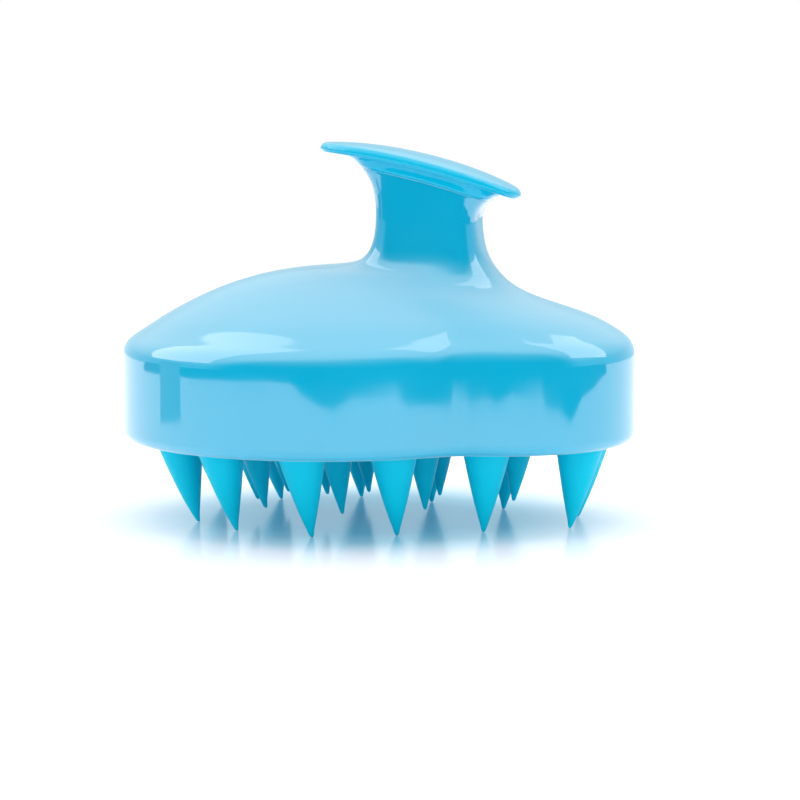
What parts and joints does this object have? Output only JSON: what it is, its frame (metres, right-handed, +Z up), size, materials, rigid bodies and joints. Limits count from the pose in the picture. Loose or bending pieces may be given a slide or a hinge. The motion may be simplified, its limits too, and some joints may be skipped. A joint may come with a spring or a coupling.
{
  "type": "scalp massager brush",
  "caption": "Hand-held scalp massager: a pear-shaped shell with a palm grip on a short stem, over a silicone pad with flexible cone bristles.",
  "frame": {"origin": "centre of the bounding box, on the surface that the long bristles stand on", "axes": "+X along the brush towards its small lobe and the low end of the palm rest, +Y across it, +Z up"},
  "size_m": [0.09, 0.0718, 0.0661],
  "materials": {
    "shell_plastic": "high gloss, injection moulded",
    "grip_plastic": "high gloss, injection moulded",
    "inner_plastic": "fine matt",
    "silicone": "smooth satin silicone"
  },
  "bodies": {
    "pad": {"bristle_pad": "silicone"},
    "shell": {"body_shell": "shell_plastic", "palm_rest": "grip_plastic", "backing_plate": "inner_plastic"},
    "bristle_01": {"bristle_01": "silicone"},
    "bristle_02": {"bristle_02": "silicone"},
    "bristle_03": {"bristle_03": "silicone"},
    "bristle_04": {"bristle_04": "silicone"},
    "bristle_05": {"bristle_05": "silicone"},
    "bristle_06": {"bristle_06": "silicone"},
    "bristle_07": {"bristle_07": "silicone"},
    "bristle_08": {"bristle_08": "silicone"},
    "bristle_09": {"bristle_09": "silicone"},
    "bristle_10": {"bristle_10": "silicone"},
    "bristle_11": {"bristle_11": "silicone"},
    "bristle_12": {"bristle_12": "silicone"},
    "bristle_13": {"bristle_13": "silicone"},
    "bristle_14": {"bristle_14": "silicone"},
    "bristle_15": {"bristle_15": "silicone"},
    "bristle_16": {"bristle_16": "silicone"},
    "bristle_17": {"bristle_17": "silicone"},
    "bristle_18": {"bristle_18": "silicone"},
    "bristle_19": {"bristle_19": "silicone"},
    "bristle_20": {"bristle_20": "silicone"},
    "bristle_21": {"bristle_21": "silicone"},
    "bristle_22": {"bristle_22": "silicone"}
  },
  "joints": [
    {"name": "shell_pull_off", "type": "slide", "parent": "pad", "child": "shell", "axis": [0, 0, 1], "range_m": [0, 0.03]},
    {"name": "bristle_01_flex", "type": "hinge", "parent": "pad", "child": "bristle_01", "pos_m": [-0.0327, -0.01058, 0.012], "axis": [0, 1, 0], "range_deg": [-20, 20], "stiffness_Nm_per_rad": 0.04},
    {"name": "bristle_02_flex", "type": "hinge", "parent": "pad", "child": "bristle_02", "pos_m": [-0.0327, 0.01058, 0.012], "axis": [0, 1, 0], "range_deg": [-20, 20], "stiffness_Nm_per_rad": 0.04},
    {"name": "bristle_03_flex", "type": "hinge", "parent": "pad", "child": "bristle_03", "pos_m": [-0.02322, 0, 0.012], "axis": [0, 1, 0], "range_deg": [-20, 20], "stiffness_Nm_per_rad": 0.04},
    {"name": "bristle_04_flex", "type": "hinge", "parent": "pad", "child": "bristle_04", "pos_m": [-0.02337, -0.01969, 0.012], "axis": [0, 1, 0], "range_deg": [-20, 20], "stiffness_Nm_per_rad": 0.04},
    {"name": "bristle_05_flex", "type": "hinge", "parent": "pad", "child": "bristle_05", "pos_m": [-0.02337, 0.01969, 0.012], "axis": [0, 1, 0], "range_deg": [-20, 20], "stiffness_Nm_per_rad": 0.04},
    {"name": "bristle_06_flex", "type": "hinge", "parent": "pad", "child": "bristle_06", "pos_m": [-0.01955, -0.01024, 0.012], "axis": [0, 1, 0], "range_deg": [-20, 20], "stiffness_Nm_per_rad": 0.04},
    {"name": "bristle_07_flex", "type": "hinge", "parent": "pad", "child": "bristle_07", "pos_m": [-0.01955, 0.01024, 0.012], "axis": [0, 1, 0], "range_deg": [-20, 20], "stiffness_Nm_per_rad": 0.04},
    {"name": "bristle_08_flex", "type": "hinge", "parent": "pad", "child": "bristle_08", "pos_m": [-0.00991, 0, 0.012], "axis": [0, 1, 0], "range_deg": [-20, 20], "stiffness_Nm_per_rad": 0.04},
    {"name": "bristle_09_flex", "type": "hinge", "parent": "pad", "child": "bristle_09", "pos_m": [-0.00843, -0.02499, 0.012], "axis": [0, 1, 0], "range_deg": [-20, 20], "stiffness_Nm_per_rad": 0.04},
    {"name": "bristle_10_flex", "type": "hinge", "parent": "pad", "child": "bristle_10", "pos_m": [-0.00843, 0.02499, 0.012], "axis": [0, 1, 0], "range_deg": [-20, 20], "stiffness_Nm_per_rad": 0.04},
    {"name": "bristle_11_flex", "type": "hinge", "parent": "pad", "child": "bristle_11", "pos_m": [-0.00473, -0.01359, 0.012], "axis": [0, 1, 0], "range_deg": [-20, 20], "stiffness_Nm_per_rad": 0.04},
    {"name": "bristle_12_flex", "type": "hinge", "parent": "pad", "child": "bristle_12", "pos_m": [-0.00473, 0.01359, 0.012], "axis": [0, 1, 0], "range_deg": [-20, 20], "stiffness_Nm_per_rad": 0.04},
    {"name": "bristle_13_flex", "type": "hinge", "parent": "pad", "child": "bristle_13", "pos_m": [0.00359, 0, 0.012], "axis": [0, 1, 0], "range_deg": [-20, 20], "stiffness_Nm_per_rad": 0.04},
    {"name": "bristle_14_flex", "type": "hinge", "parent": "pad", "child": "bristle_14", "pos_m": [0.00618, -0.02032, 0.012], "axis": [0, 1, 0], "range_deg": [-20, 20], "stiffness_Nm_per_rad": 0.04},
    {"name": "bristle_15_flex", "type": "hinge", "parent": "pad", "child": "bristle_15", "pos_m": [0.00618, 0.02032, 0.012], "axis": [0, 1, 0], "range_deg": [-20, 20], "stiffness_Nm_per_rad": 0.04},
    {"name": "bristle_16_flex", "type": "hinge", "parent": "pad", "child": "bristle_16", "pos_m": [0.0095, -0.00887, 0.012], "axis": [0, 1, 0], "range_deg": [-20, 20], "stiffness_Nm_per_rad": 0.04},
    {"name": "bristle_17_flex", "type": "hinge", "parent": "pad", "child": "bristle_17", "pos_m": [0.0095, 0.00887, 0.012], "axis": [0, 1, 0], "range_deg": [-20, 20], "stiffness_Nm_per_rad": 0.04},
    {"name": "bristle_18_flex", "type": "hinge", "parent": "pad", "child": "bristle_18", "pos_m": [0.021, -0.01418, 0.012], "axis": [0, 1, 0], "range_deg": [-20, 20], "stiffness_Nm_per_rad": 0.04},
    {"name": "bristle_19_flex", "type": "hinge", "parent": "pad", "child": "bristle_19", "pos_m": [0.021, 0.01418, 0.012], "axis": [0, 1, 0], "range_deg": [-20, 20], "stiffness_Nm_per_rad": 0.04},
    {"name": "bristle_20_flex", "type": "hinge", "parent": "pad", "child": "bristle_20", "pos_m": [0.02448, 0, 0.012], "axis": [0, 1, 0], "range_deg": [-20, 20], "stiffness_Nm_per_rad": 0.04},
    {"name": "bristle_21_flex", "type": "hinge", "parent": "pad", "child": "bristle_21", "pos_m": [0.03582, -0.00677, 0.012], "axis": [0, 1, 0], "range_deg": [-20, 20], "stiffness_Nm_per_rad": 0.04},
    {"name": "bristle_22_flex", "type": "hinge", "parent": "pad", "child": "bristle_22", "pos_m": [0.03582, 0.00677, 0.012], "axis": [0, 1, 0], "range_deg": [-20, 20], "stiffness_Nm_per_rad": 0.04}
  ]
}
